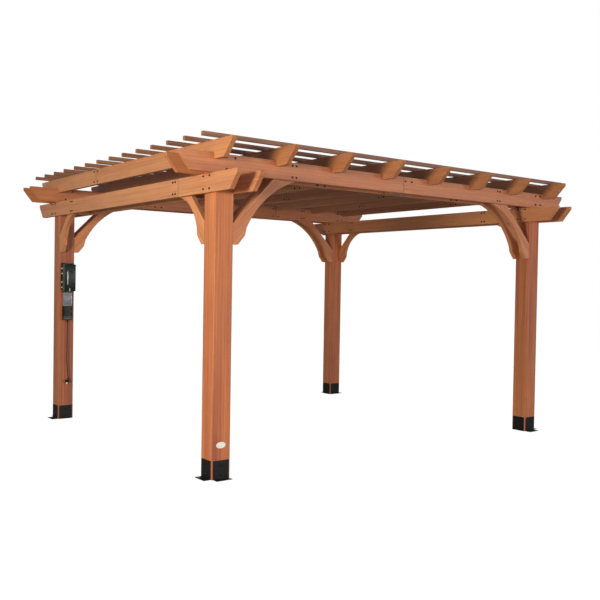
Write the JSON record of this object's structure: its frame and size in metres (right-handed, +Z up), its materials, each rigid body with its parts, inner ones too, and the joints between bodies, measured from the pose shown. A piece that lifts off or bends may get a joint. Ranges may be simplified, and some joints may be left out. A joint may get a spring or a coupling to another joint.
{
  "type": "pergola",
  "caption": "Freestanding timber pergola: square posts, paired beams, curved knee braces, notched rafters and open roof slats, with a power outlet unit on one post.",
  "frame": {"origin": "centre of the four posts at ground level", "axes": "+X along the long beams, from the left posts to the right posts; +Y from the front posts to the back posts; +Z up"},
  "size_m": [4.267, 3.796, 2.416],
  "materials": {
    "frame_timber": "stained, semi-matte",
    "roof_timber": "stained, semi-matte",
    "black_steel": "powder coated, semi-gloss",
    "black_plastic": "gloss",
    "grey_plastic": "fine texture",
    "cord_sheath": "matte",
    "plug_rubber": "matte"
  },
  "bodies": {
    "root": {"beam_back": "frame_timber", "beam_front": "frame_timber", "beam_packing_blocks": "frame_timber", "braces_back_left": "frame_timber", "braces_back_right": "frame_timber", "braces_front_left": "frame_timber", "braces_front_right": "frame_timber", "foot_plates_back_left": "black_steel", "foot_plates_back_right": "black_steel", "foot_plates_front_left": "black_steel", "foot_plates_front_right": "black_steel", "header_left": "frame_timber", "header_packing_blocks": "frame_timber", "header_right": "frame_timber", "post_back_left": "frame_timber", "post_back_right": "frame_timber", "post_front_left": "frame_timber", "post_front_right": "frame_timber", "power_cord": "cord_sheath", "power_plug": "plug_rubber", "power_unit_lower_housing": "black_plastic", "power_unit_panel": "grey_plastic", "power_unit_upper_box": "black_plastic", "rafter_1": "roof_timber", "rafter_2": "roof_timber", "rafter_3": "roof_timber", "rafter_4": "roof_timber", "rafter_5": "roof_timber", "rafter_6": "roof_timber", "rafter_7": "roof_timber", "rafter_8": "roof_timber", "roof_slat_01": "roof_timber", "roof_slat_02": "roof_timber", "roof_slat_03": "roof_timber", "roof_slat_04": "roof_timber", "roof_slat_05": "roof_timber", "roof_slat_06": "roof_timber", "roof_slat_07": "roof_timber", "roof_slat_08": "roof_timber", "roof_slat_09": "roof_timber", "roof_slat_10": "roof_timber", "roof_slat_11": "roof_timber", "roof_slat_12": "roof_timber", "roof_slat_13": "roof_timber", "roof_slat_14": "roof_timber"}
  },
  "joints": []
}
